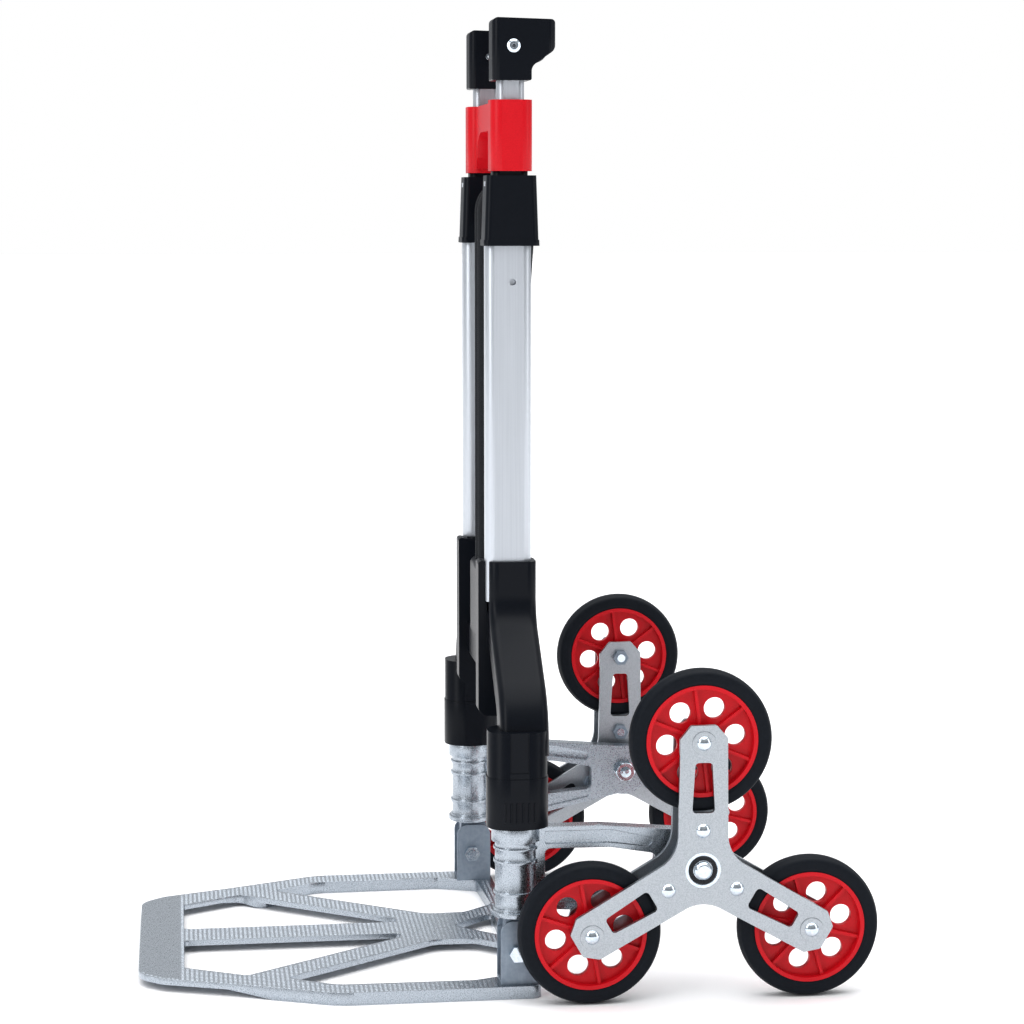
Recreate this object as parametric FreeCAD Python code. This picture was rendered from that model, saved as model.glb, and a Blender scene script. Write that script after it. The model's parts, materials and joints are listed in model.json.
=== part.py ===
"""Folding stair-climbing hand truck: telescopic handle, folding toe plate, two three-wheel stars.

Millimetres. +Z is up and Z = 0 is the floor, the toe plate points to -Y, and "right" is the +X side.
The model is drawn about the pivot posts (Y = 0 on their axes) and moved to its origin, the centre of
the base of its bounding box, when each piece is written.
"""
import FreeCAD, Part
import math
import os

from FreeCAD import Vector

# ---------------------------------------------------------------- driving dimensions
POST_X = 171.0            # pivot posts of the wheel brackets, each side of the middle
COLUMN_X = 86.0           # telescopic columns, each side of the middle
STAR_X = 205.5            # middle plane of each wheel star
HUB_Y = 150.0             # star axle behind the post axis
STAR_ARM = 107.0          # star axle to wheel axle
WHEEL_RADIUS = 60.0
HUB_Z = WHEEL_RADIUS + STAR_ARM / 2           # two wheels of each star stand on the floor
TYRE_WIDTH = 20.0
HINGE_Z = 38.0            # toe-plate hinge above the floor
PLATE_TOP = 11.0          # top face of the toe plate, without its raised pattern
PLATE_BOTTOM = 0.0
PLATE_FRONT = 316.0       # front lip ahead of the post axis
PLATE_REAR = 20.0         # rear bar behind the post axis
PLATE_HALF_WIDTH = 191.0
RELEASE_TRAVEL = 2.5

FIT = 0.05                # radial clearance of a running fit
GAP = 0.4                 # clearance between pieces that pass each other

DEPTH_BEHIND = HUB_Y + STAR_ARM * math.cos(math.radians(30)) + WHEEL_RADIUS
POST_Y = (PLATE_FRONT - DEPTH_BEHIND) / 2     # post axis in the finished part's frame

SIDES = (("right", 1), ("left", -1))
LOBES = (90, 210, 330)    # directions of a star's three arms, from +Y towards +Z


# ---------------------------------------------------------------- drawing helpers
def rounded_wire(corners, to_point):
    """Closed wire through (a, b, radius) corners; to_point turns (a, b) into a 3-D point."""
    starts, ends, middles = [], [], []
    count = len(corners)
    for i in range(count):
        a, b, radius = corners[i]
        here = Vector(a, b, 0)
        before = (Vector(*corners[i - 1][:2], 0) - here).normalize()
        after = (Vector(*corners[(i + 1) % count][:2], 0) - here).normalize()
        half = before.getAngle(after) / 2
        if radius <= 0:
            starts.append(here)
            ends.append(here)
            middles.append(None)
            continue
        reach = radius / math.tan(half)
        starts.append(here + before * reach)
        ends.append(here + after * reach)
        bisector = (before + after).normalize()
        middles.append(here + bisector * (radius / math.sin(half) - radius))
    edges = []
    for i in range(count):
        following = (i + 1) % count
        if middles[i] is not None:
            arc = Part.Arc(to_point(starts[i].x, starts[i].y), to_point(middles[i].x, middles[i].y),
                           to_point(ends[i].x, ends[i].y))
            edges.append(arc.toShape())
        if (starts[following] - ends[i]).Length > 1e-6:
            line = Part.LineSegment(to_point(ends[i].x, ends[i].y),
                                    to_point(starts[following].x, starts[following].y))
            edges.append(line.toShape())
    return Part.Wire(edges)


def prism_x(corners, x0, x1):
    """Rounded (y, z, radius) outline, solid from x0 to x1."""
    wire = rounded_wire(corners, lambda a, b: Vector(x0, a, b))
    return Part.Face(wire).extrude(Vector(x1 - x0, 0, 0))


def prism_y(corners, y0, y1):
    """Rounded (x, z, radius) outline, solid from y0 to y1."""
    wire = rounded_wire(corners, lambda a, b: Vector(a, y0, b))
    return Part.Face(wire).extrude(Vector(0, y1 - y0, 0))


def prism_z(corners, z0, z1):
    """Rounded (x, y, radius) outline, solid from z0 to z1."""
    wire = rounded_wire(corners, lambda a, b: Vector(a, b, z0))
    return Part.Face(wire).extrude(Vector(0, 0, z1 - z0))


def rectangle(a0, a1, b0, b1, radius):
    """Corners of a rectangle with one radius all round."""
    return [(a0, b0, radius), (a1, b0, radius), (a1, b1, radius), (a0, b1, radius)]


def box(x0, x1, y0, y1, z0, z1):
    return Part.makeBox(x1 - x0, y1 - y0, z1 - z0, Vector(x0, y0, z0))


def rod_x(radius, x0, x1, y, z):
    return Part.makeCylinder(radius, x1 - x0, Vector(x0, y, z), Vector(1, 0, 0))


def rod_z(radius, z0, z1, x, y):
    return Part.makeCylinder(radius, z1 - z0, Vector(x, y, z0), Vector(0, 0, 1))


def hexagon_x(flats, x0, x1, y, z):
    """Hexagonal bar along X, as wide across its flats as given."""
    points = []
    for i in range(6):
        angle = math.radians(60 * i)
        points.append(Vector(x0, y + flats / math.sqrt(3) * math.cos(angle),
                             z + flats / math.sqrt(3) * math.sin(angle)))
    wire = Part.makePolygon(points + points[:1])
    return Part.Face(wire).extrude(Vector(x1 - x0, 0, 0))


def dome_x(radius, height, x0, y, z):
    """Round bolt head: the cap of a sphere that stands height proud of x0."""
    ball_radius = (radius ** 2 + height ** 2) / (2 * height)
    ball = Part.makeSphere(ball_radius, Vector(x0 + height - ball_radius, y, z))
    return ball.common(rod_x(radius + 1, x0, x0 + height + 1, y, z))


def revolve_x(profile, y, z):
    """Ring about an X axis through (y, z) from a closed (x, radius) outline of (x, r, corner)."""
    wire = rounded_wire(profile, lambda a, b: Vector(a, y + b, z))
    return Part.Face(wire).revolve(Vector(0, y, z), Vector(1, 0, 0), 360)


def fuse(*shapes):
    result = shapes[0].fuse(list(shapes[1:]))
    return result.removeSplitter()


def cut(shape, *tools):
    return shape.cut(list(tools))


def mirrored(shape):
    return shape.mirror(Vector(0, 0, 0), Vector(1, 0, 0))


def on_side(shape, sign):
    """A piece drawn on the right, moved to the side that the sign names."""
    return shape if sign > 0 else mirrored(shape)


def lobe_point(radius, direction):
    """(y, z) of a point at a radius from the star axle."""
    angle = math.radians(direction)
    return HUB_Y + radius * math.cos(angle), HUB_Z + radius * math.sin(angle)


def write(node, shape):
    """Move a piece (or a list of separate solids) into the part's own frame and write its STEP file."""
    if isinstance(shape, (list, tuple)):
        solids = [solid for piece in shape for solid in piece.Solids]
        shape = Part.makeCompound(solids)
    elif len(shape.Solids) == 1:
        shape = shape.Solids[0]
    else:
        raise SystemExit("%s has %d solids" % (node, len(shape.Solids)))
    if not shape.isValid():
        raise SystemExit(node + " is not a valid shape")
    moved = shape.copy()
    moved.translate(Vector(0, POST_Y, 0))
    moved.exportStep("parts/%s.step" % node)
    bounds = moved.optimalBoundingBox()
    print("%-26s solids %d  volume %9.0f  X %7.1f %7.1f  Y %7.1f %7.1f  Z %6.1f %6.1f"
          % (node, len(moved.Solids), moved.Volume, bounds.XMin, bounds.XMax,
             bounds.YMin, bounds.YMax, bounds.ZMin, bounds.ZMax))


# ---------------------------------------------------------------- telescopic columns
TUBE_Y = 4.0              # middle of the outer tubes, behind the post axis
TUBE_SIZE = (24.0, 39.0)  # X and Y
TUBE_WALL = 1.6
TUBE_CORNER = 7.0
TUBE_BOTTOM = 322.0
TUBE_TOP = 680.0
INNER_Y = 6.2
INNER_SIZE = (16.0, 23.0)
INNER_WALL = 1.5
INNER_CORNER = 5.0
INNER_BOTTOM = 336.0
INNER_TOP = 806.0
LOCK_HOLE_Z = 595.5
LOCK_HOLE_RADIUS = 2.8


def column_profile(centre_y, size, shrink, radius):
    """Rounded-rectangle column section, drawn in by shrink on every side."""
    half_x = size[0] / 2 - shrink
    half_y = size[1] / 2 - shrink
    return rectangle(COLUMN_X - half_x, COLUMN_X + half_x,
                     centre_y - half_y, centre_y + half_y, max(radius - shrink, 0.5))


def outer_tube():
    tube = prism_z(column_profile(TUBE_Y, TUBE_SIZE, 0, TUBE_CORNER), TUBE_BOTTOM, TUBE_TOP)
    bore = prism_z(column_profile(TUBE_Y, TUBE_SIZE, TUBE_WALL, TUBE_CORNER), TUBE_BOTTOM, TUBE_TOP)
    hole = rod_x(LOCK_HOLE_RADIUS, COLUMN_X, COLUMN_X + TUBE_SIZE[0], TUBE_Y + 3, LOCK_HOLE_Z)
    return cut(tube, bore, hole)


def inner_tube():
    tube = prism_z(column_profile(INNER_Y, INNER_SIZE, 0, INNER_CORNER), INNER_BOTTOM, INNER_TOP)
    bore = prism_z(column_profile(INNER_Y, INNER_SIZE, INNER_WALL, INNER_CORNER),
                   INNER_BOTTOM, INNER_TOP)
    return cut(tube, bore)


GUIDE_LENGTH = 40.0       # plastic guide pressed into the mouth of each outer tube


def tube_guide():
    outer = prism_z(column_profile(TUBE_Y, TUBE_SIZE, TUBE_WALL, TUBE_CORNER),
                    TUBE_TOP - GUIDE_LENGTH, TUBE_TOP)
    bore = prism_z(column_profile(INNER_Y, INNER_SIZE, -FIT, INNER_CORNER),
                   TUBE_TOP - GUIDE_LENGTH, TUBE_TOP)
    return cut(outer, bore)


def tube_end_plug():
    """Glide at the foot of each inner tube: a collar in the outer tube and a spigot in the inner one."""
    glide = prism_z(column_profile(TUBE_Y, TUBE_SIZE, TUBE_WALL + GAP, TUBE_CORNER),
                    INNER_BOTTOM - 8, INNER_BOTTOM)
    spigot = prism_z(column_profile(INNER_Y, INNER_SIZE, INNER_WALL, INNER_CORNER),
                     INNER_BOTTOM, INNER_BOTTOM + 18)
    return fuse(glide, spigot)


# ---------------------------------------------------------------- collars and crosspiece
COLLAR_BOTTOM = 626.0
COLLAR_TOP = 685.0
COLLAR_HALF_X = 16.0
COLLAR_Y = (-15.2, 27.1)  # front and back faces at the top
COLLAR_FLARE = 2.2        # how much further out each face stands at the bottom
COLLAR_LIP = 5.0          # height of the small step around the bottom
NECK_TOP = 700.0
NECK_Y = (-9.5, 20.5)
NECK_HALF_X = 11.5


def upper_collar():
    def ring(z, spread, radius):
        corners = rectangle(COLUMN_X - COLLAR_HALF_X - spread / 2, COLUMN_X + COLLAR_HALF_X + spread / 2,
                            COLLAR_Y[0] - spread, COLLAR_Y[1] + spread, radius)
        return rounded_wire(corners, lambda a, b: Vector(a, b, z))

    body = Part.makeLoft([ring(COLLAR_BOTTOM + COLLAR_LIP, COLLAR_FLARE - 0.4, 5),
                          ring(COLLAR_TOP, 0, 5)], True, True)
    lip = Part.makeLoft([ring(COLLAR_BOTTOM, COLLAR_FLARE + 0.5, 5),
                         ring(COLLAR_BOTTOM + COLLAR_LIP, COLLAR_FLARE + 0.3, 5)], True, True)
    neck = prism_z(rectangle(COLUMN_X - NECK_HALF_X, COLUMN_X + NECK_HALF_X,
                             NECK_Y[0], NECK_Y[1], 6), COLLAR_TOP - 1, NECK_TOP)
    tube_pocket = prism_z(column_profile(TUBE_Y, TUBE_SIZE, 0, TUBE_CORNER), COLLAR_BOTTOM, TUBE_TOP)
    inner_way = prism_z(column_profile(INNER_Y, INNER_SIZE, -GAP, INNER_CORNER),
                        TUBE_TOP, NECK_TOP)
    return cut(fuse(body, lip, neck), tube_pocket, inner_way)


CROSSPIECE_Y = (-4.5, 28.5)
CROSSPIECE_Z = (640.0, 670.0)
CROSSPIECE_EDGE = 15.0


def collar_crosspiece():
    """Bar between the two collars; its rounded top carries the elastic cords."""
    y0, y1 = CROSSPIECE_Y
    z0, z1 = CROSSPIECE_Z
    corners = [(y0, z0, 5), (y1, z0, 5), (y1, z1, CROSSPIECE_EDGE), (y0, z1, CROSSPIECE_EDGE)]
    return prism_x(corners, -COLUMN_X, COLUMN_X)


# ---------------------------------------------------------------- handle
CAP_X = (70.5, 101.5)
CAP_BOTTOM = 764.0
CAP_TOP = 816.0
GRIP_MIDDLE = (28.5, 797.0)
GRIP_SIZE = (28.0, 33.0)  # Y and Z
RIVET_Y = 7.4
RIVET_Z = 792.5


def handle_cap():
    """Corner piece: socket over the inner tube with a nose behind it that takes the grip's end."""
    side = [(-10.5, CAP_BOTTOM, 1.5), (22.6, CAP_BOTTOM, 1.5), (22.6, 775.5, 8), (43.2, 790.0, 9),
            (43.2, CAP_TOP - 1.5, 4), (-10.5, CAP_TOP, 5)]
    body = prism_x(side, *CAP_X)
    plan = rectangle(CAP_X[0], CAP_X[1], -10.5, 43.2, 6)
    body = body.common(prism_z(plan, CAP_BOTTOM - 1, CAP_TOP + 1))
    socket = prism_z(column_profile(INNER_Y, INNER_SIZE, 0, INNER_CORNER), CAP_BOTTOM, INNER_TOP)
    grip_y, grip_z = GRIP_MIDDLE
    grip_seat = rod_x(8.0, CAP_X[0], CAP_X[0] + 14, grip_y, grip_z)
    rivet_way = rod_x(3.0, CAP_X[0], CAP_X[1], RIVET_Y, RIVET_Z)
    return cut(body, socket, grip_seat, rivet_way)


def cap_rivet():
    """Tubular rivet through the cap and the inner tube, with a domed head outside."""
    shank = rod_x(3.0, CAP_X[0], CAP_X[1], RIVET_Y, RIVET_Z)
    head = revolve_x([(CAP_X[1], 0, 0), (CAP_X[1] + 2.2, 0, 0), (CAP_X[1] + 2.2, 3.6, 1.2),
                      (CAP_X[1] + 0.9, 5.8, 0.5), (CAP_X[1], 5.8, 0)], RIVET_Y, RIVET_Z)
    bore = rod_x(1.5, CAP_X[0] - 1, CAP_X[1] + 4, RIVET_Y, RIVET_Z)
    return cut(fuse(shank, head), bore)


def grip():
    """Soft handle bar between the caps, oval in section, waisted towards both ends."""
    grip_y, grip_z = GRIP_MIDDLE
    half_y, half_z = GRIP_SIZE[0] / 2, GRIP_SIZE[1] / 2

    def section(x, scale):
        corners = rectangle(grip_y - half_y * scale, grip_y + half_y * scale,
                            grip_z - half_z * scale, grip_z + half_z * scale, 12.5 * scale)
        return rounded_wire(corners, lambda a, b: Vector(x, a, b))

    end = CAP_X[0]
    sleeve = Part.makeLoft([section(-end, 0.9), section(-end + 14, 1.0), section(end - 14, 1.0),
                            section(end, 0.9)], True, True)
    return cut(sleeve, rod_x(8.0, -end, end, grip_y, grip_z))


def grip_core():
    """Steel bar through the grip, seated in both caps."""
    grip_y, grip_z = GRIP_MIDDLE
    end = CAP_X[0] + 13.5
    return rod_x(8.0, -end, end, grip_y, grip_z)


# ---------------------------------------------------------------- release bar
RELEASE_Y = (-11.6, 23.9)
RELEASE_Z = (688.6, 748.0)
RELEASE_HALF_X = 16.0
ARCH_TOP = 724.0
ARCH_HALF = COLUMN_X - RELEASE_HALF_X
BRIDGE_Y = (-5.0, 17.0)


def release_bar():
    """Red bar: a sleeve round each column with an arched bridge between them."""
    z0, z1 = RELEASE_Z
    sleeves = []
    for sign in (1, -1):
        sleeve = prism_z(rectangle(COLUMN_X - RELEASE_HALF_X, COLUMN_X + RELEASE_HALF_X,
                                   RELEASE_Y[0], RELEASE_Y[1], 9), z0, z1)
        inner_way = prism_z(column_profile(INNER_Y, INNER_SIZE, -GAP, INNER_CORNER), z0, z1)
        neck_way = prism_z(rectangle(COLUMN_X - NECK_HALF_X - GAP, COLUMN_X + NECK_HALF_X + GAP,
                                     NECK_Y[0] - GAP, NECK_Y[1] + GAP, 6), z0,
                           NECK_TOP + RELEASE_TRAVEL + 1)
        sleeves.append(on_side(cut(sleeve, inner_way, neck_way), sign))
    bridge = prism_y([(-ARCH_HALF - 1, z0 + 4, 0), (-ARCH_HALF + 4, z0 + 4, 0),
                      (-ARCH_HALF + 16, ARCH_TOP, 34), (ARCH_HALF - 16, ARCH_TOP, 34),
                      (ARCH_HALF - 4, z0 + 4, 0), (ARCH_HALF + 1, z0 + 4, 0),
                      (ARCH_HALF + 1, z1 - 0.5, 0), (-ARCH_HALF - 1, z1 - 0.5, 0)], *BRIDGE_Y)
    return fuse(bridge, *sleeves)


# ---------------------------------------------------------------- lower housings
HOUSING_TOP = 357.0
SLEEVE_HALF = (16.0, 20.5)  # X and Y half sizes of the curved sleeve
SLEEVE_Y = 7.0            # middle of the sleeve at the column
SLEEVE_CORNER = 8.0
SLEEVE_STRAIGHT = 328.0   # height where the sleeve starts to bend outwards
BEND_RADIUS = 50.0
BEND_TURN = math.radians(50)
KNUCKLE_TOP = 226.0
SLEEVE_FOOT = 205.0
SLEEVE_FOOT_X = 168.0
WING_X = (68.0, 88.0)
WING_Y = (-21.5, 12.0)
WING_BOTTOM = 221.0


def sleeve_path():
    """Centre line of the curved sleeve: down, out along a slope, and down again."""
    turn = BEND_TURN
    sideways = BEND_RADIUS * (1 - math.cos(turn))
    downwards = BEND_RADIUS * math.sin(turn)
    slope = (SLEEVE_FOOT_X - COLUMN_X - 2 * sideways) / math.sin(turn)
    half_sideways = BEND_RADIUS * (1 - math.cos(turn / 2))
    half_downwards = BEND_RADIUS * math.sin(turn / 2)
    y = SLEEVE_Y
    top = Vector(COLUMN_X, y, HOUSING_TOP)
    start = Vector(COLUMN_X, y, SLEEVE_STRAIGHT)
    first_middle = Vector(start.x + half_sideways, y, start.z - half_downwards)
    first_end = Vector(start.x + sideways, y, start.z - downwards)
    second_start = Vector(first_end.x + slope * math.sin(turn), y, first_end.z - slope * math.cos(turn))
    second_end = Vector(second_start.x + sideways, y, second_start.z - downwards)
    second_middle = Vector(second_end.x - half_sideways, y, second_end.z + half_downwards)
    foot = Vector(second_end.x, y, SLEEVE_FOOT)
    edges = [Part.LineSegment(top, start), Part.Arc(start, first_middle, first_end),
             Part.LineSegment(first_end, second_start),
             Part.Arc(second_start, second_middle, second_end), Part.LineSegment(second_end, foot)]
    return Part.Wire([edge.toShape() for edge in edges])


def sleeve_solid(shrink):
    """The curved sleeve's outer form, drawn in by shrink."""
    half_x = SLEEVE_HALF[0] - shrink
    half_y = SLEEVE_HALF[1] - shrink
    corners = rectangle(COLUMN_X - half_x, COLUMN_X + half_x, SLEEVE_Y - half_y, SLEEVE_Y + half_y,
                        SLEEVE_CORNER - shrink / 2)
    profile = rounded_wire(corners, lambda a, b: Vector(a, b, HOUSING_TOP))
    return sleeve_path().makePipeShell([profile], True, False)


def lower_housing():
    """Black casting: sleeve from the column out to the knuckle, with a straight guard plate in front."""
    sleeve = sleeve_solid(0)
    wing = prism_x([(WING_Y[0], WING_BOTTOM, 8), (WING_Y[1], WING_BOTTOM, 10),
                    (WING_Y[1], HOUSING_TOP - 6, 2), (WING_Y[0], HOUSING_TOP, 3)], *WING_X)
    tube_pocket = prism_z(column_profile(TUBE_Y, TUBE_SIZE, 0, TUBE_CORNER), TUBE_BOTTOM, HOUSING_TOP + 1)
    plug_way = prism_z(column_profile(TUBE_Y, TUBE_SIZE, TUBE_WALL, TUBE_CORNER),
                       TUBE_BOTTOM - 10, TUBE_BOTTOM)
    return cut(fuse(sleeve, wing), tube_pocket, plug_way)


CROSSBAR_Z = (251.0, 279.0)
CROSSBAR_Y = (-13.3, 11.0)
ANCHOR_TOP = 346.0
ANCHOR_Y = (-16.0, 23.0)
ANCHOR_HALF_X = 24.0


def lower_crossbar():
    """Box-section bar that ties the two housings together, open at the back."""
    y0, y1 = CROSSBAR_Y
    z0, z1 = CROSSBAR_Z
    bar = box(-WING_X[0], WING_X[0], y0, y1, z0, z1)
    channel = box(-WING_X[0], WING_X[0], y0 + 3, y1, z0 + 3, z1 - 3)
    ribs = [box(x - 1.5, x + 1.5, y0 + 2, y1, z0 + 2, z1 - 2) for x in (-45, -15, 15, 45)]
    return fuse(cut(bar, channel), *ribs)


def cord_anchor():
    """Raised middle of the crossbar, where both elastic cords are fastened."""
    y0, y1 = ANCHOR_Y
    block = prism_x([(y0, CROSSBAR_Z[1], 2), (y1, CROSSBAR_Z[1], 2), (y1, ANCHOR_TOP, 6),
                     (y0, ANCHOR_TOP, 6)], -ANCHOR_HALF_X, ANCHOR_HALF_X)
    window = box(-ANCHOR_HALF_X, ANCHOR_HALF_X, y0 + 9, y1 - 9, CROSSBAR_Z[1] + 8, ANCHOR_TOP - 10)
    return cut(block, window)


CORD_RADIUS = 4.0
CORD_X = 10.0
CORD_FRONT_Y = -9.0
CORD_BACK_Y = 36.0
CORD_TOP = 676.0
CORD_ANCHOR_BACK_Y = 15.0


def elastic_cord(x, label):
    """Taut elastic cord: up from the anchor, over the crosspiece and down behind to the anchor."""
    points = [Vector(x, CORD_FRONT_Y, ANCHOR_TOP), Vector(x, CORD_FRONT_Y, CORD_TOP),
              Vector(x, CORD_BACK_Y, CORD_TOP), Vector(x, CORD_ANCHOR_BACK_Y, ANCHOR_TOP)]
    edges = []
    reached = points[0]
    for i in range(1, len(points) - 1):
        before = points[i - 1] - points[i]
        after = points[i + 1] - points[i]
        half = before.getAngle(after) / 2
        reach = 0.45 * min(before.Length, after.Length)
        radius = reach * math.tan(half)
        start = points[i] + before.normalize() * reach
        end = points[i] + after.normalize() * reach
        bisector = (before + after).normalize()
        middle = points[i] + bisector * (radius / math.sin(half) - radius)
        edges.append(Part.LineSegment(reached, start).toShape())
        edges.append(Part.Arc(start, middle, end).toShape())
        reached = end
        print("%s bend radius %.1f" % (label, radius))
    edges.append(Part.LineSegment(reached, points[-1]).toShape())
    path = Part.Wire(edges)
    length = path.Length
    circle = Part.Wire([Part.makeCircle(CORD_RADIUS, points[0], Vector(0, 0, 1))])
    cord = path.makePipeShell([circle], True, False)
    below = box(x - 2 * CORD_RADIUS, x + 2 * CORD_RADIUS, ANCHOR_Y[0], ANCHOR_Y[1],
                ANCHOR_TOP - 2 * CORD_RADIUS, ANCHOR_TOP)
    cord = cut(cord, below)
    exact = math.pi * CORD_RADIUS ** 2 * length
    print("%s length %.1f, volume over section times length %.4f" % (label, length, cord.Volume / exact))
    return cord


# ---------------------------------------------------------------- knuckles and pivot posts
KNUCKLE_HALF_X = 20.5
KNUCKLE_Y = (-24.6, 27.0)
KNUCKLE_BOTTOM = 144.5
KNUCKLE_STEP = 187.0
KNUCKLE_CORNER = 18.0     # large enough for a tyre to pass when its bracket swings in
KNUCKLE_INSET = 0.8
POST_RADIUS = 8.0
POST_TOP = 200.0
HINGE_BLOCK_TOP = 67.5
HINGE_BLOCK_HALF = 11.5
HINGE_BOLT_RADIUS = 4.0


def knuckle():
    """Stepped plastic socket that holds the foot of the sleeve above and the pivot post below."""
    x0, x1 = POST_X - KNUCKLE_HALF_X, POST_X + KNUCKLE_HALF_X
    y0, y1 = KNUCKLE_Y
    inset = KNUCKLE_INSET
    lower = prism_z(rectangle(x0, x1, y0, y1, KNUCKLE_CORNER), KNUCKLE_BOTTOM, KNUCKLE_STEP)
    upper = rectangle(x0 + inset, x1 - inset, y0 + inset, y1 - inset, KNUCKLE_CORNER - 1)
    step = prism_z(upper, KNUCKLE_STEP, KNUCKLE_TOP)
    panel = prism_z(rectangle(x1 - 1.6, x1 + 1, y0 + 18, y1 - 18, 0.5), KNUCKLE_STEP + 5, KNUCKLE_TOP)
    post_way = rod_z(POST_RADIUS, KNUCKLE_BOTTOM, POST_TOP, POST_X, 0)
    sleeve_way = on_side(sleeve_solid(0), 1)
    return cut(fuse(lower, step), panel, post_way, sleeve_way)


def pivot_post():
    """Steel post of one wheel bracket: round shank in the knuckle, hinge block at its foot."""
    shank = rod_z(POST_RADIUS, HINGE_BLOCK_TOP - 2, POST_TOP, POST_X, 0)
    half = HINGE_BLOCK_HALF
    block = prism_x([(-half + 1.5, HINGE_Z - 10, 9.5), (half - 1.5, HINGE_Z - 10, 9.5),
                     (half - 1.5, HINGE_BLOCK_TOP, 1), (-half + 1.5, HINGE_BLOCK_TOP, 1)],
                    POST_X - half, POST_X + half)
    hole = rod_x(HINGE_BOLT_RADIUS, POST_X - half, POST_X + half, 0, HINGE_Z)
    return cut(fuse(shank, block), hole)


# ---------------------------------------------------------------- toe plate and its brackets
LUG_OUTER = 14.4          # outer face of a bracket side, from the bracket's middle
LUG_WALL = 2.5
LUG_FRONT = -14.0
LUG_REAR = 18.0
SEAT_DEPTH = 0.5          # how far a bracket's foot is let into the toe plate
SEAT_MARGIN = 0.3         # gap all round the foot in its seat
FOOT_BOTTOM = PLATE_TOP - SEAT_DEPTH
FOOT_TOP = FOOT_BOTTOM + LUG_WALL
LUG_TOP = 65.3
LUG_CORNER = 10.0
BOLT_HEAD = 5.3
BRACKET_RIVET_Y = (-7.0, 11.0)


def toe_bracket():
    """Steel channel on the toe plate whose two sides straddle the post's hinge block."""
    side = [(LUG_FRONT, FOOT_BOTTOM, 0), (LUG_REAR, FOOT_BOTTOM, 0),
            (LUG_REAR, LUG_TOP, LUG_CORNER), (LUG_FRONT, LUG_TOP, LUG_CORNER)]
    channel = prism_x(side, POST_X - LUG_OUTER, POST_X + LUG_OUTER)
    hollow = box(POST_X - LUG_OUTER + LUG_WALL, POST_X + LUG_OUTER - LUG_WALL,
                 LUG_FRONT - 1, LUG_REAR + 1, FOOT_TOP, LUG_TOP + 1)
    bolt_way = rod_x(HINGE_BOLT_RADIUS + FIT, POST_X - LUG_OUTER, POST_X + LUG_OUTER, 0, HINGE_Z)
    rivet_ways = [rod_z(2.5, FOOT_BOTTOM, FOOT_TOP, POST_X, y) for y in BRACKET_RIVET_Y]
    return cut(channel, hollow, bolt_way, *rivet_ways)


def bracket_rivet(sign, y):
    """Rivet that holds a bracket to the toe plate, its head inside the channel."""
    shank = rod_z(2.5, PLATE_BOTTOM + 1, FOOT_TOP, sign * POST_X, y)
    head = rod_z(4.5, FOOT_TOP, FOOT_TOP + 2.2, sign * POST_X, y)
    return fuse(shank, head)


def hinge_bolt():
    """M8 bolt through the bracket and the hinge block, head outside."""
    outer = POST_X + LUG_OUTER + 0.15
    shank = rod_x(HINGE_BOLT_RADIUS, POST_X - LUG_OUTER - 9.0, outer + 1, 0, HINGE_Z)
    head = hexagon_x(13.0, outer, outer + BOLT_HEAD, 0, HINGE_Z)
    return fuse(shank, head)


def hinge_nut():
    inner = POST_X - LUG_OUTER - 0.15
    nut = hexagon_x(13.0, inner - 6.5, inner, 0, HINGE_Z)
    return cut(nut, rod_x(HINGE_BOLT_RADIUS, inner - 7, inner, 0, HINGE_Z))


FRONT_CORNER = 98.0       # half width of the straight front lip
SHOULDER = (157.0, -229.0)
WIDEST_Y = -150.0
WEB_THICKNESS = 5.0       # webs and front lip; the side rims and the rear bar are deeper
WEB_BOTTOM = PLATE_TOP - WEB_THICKNESS
RIM_FULL_Y = -204.0       # the side rims reach the floor behind this line
RIM_THIN_Y = -241.0       # and are as thin as the webs ahead of this one
RIM_INSIDE = 150.0        # the side rims lie outside this half width, within the side windows
REAR_BAR_Y = 4.0          # front face of the rear bar


def web_relief():
    """Space under the webs and the front lip, with a slope where each side rim starts."""
    reach = PLATE_HALF_WIDTH + 1
    front = box(-reach, reach, -PLATE_FRONT - 1, RIM_THIN_Y, PLATE_BOTTOM, WEB_BOTTOM)
    slope = prism_x([(RIM_THIN_Y, PLATE_BOTTOM, 0), (RIM_FULL_Y, PLATE_BOTTOM, 0),
                     (RIM_THIN_Y, WEB_BOTTOM, 0)], -reach, reach)
    neck = RIM_INSIDE - 30
    right = [(neck, RIM_THIN_Y, 0), (neck, RIM_FULL_Y + 4, 0), (RIM_INSIDE, RIM_FULL_Y + 39, 0),
             (RIM_INSIDE, REAR_BAR_Y, 0)]
    left = [(-x, y, radius) for x, y, radius in reversed(right)]
    middle = prism_z(right + left, PLATE_BOTTOM, WEB_BOTTOM)
    return [front, slope, middle]


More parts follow.
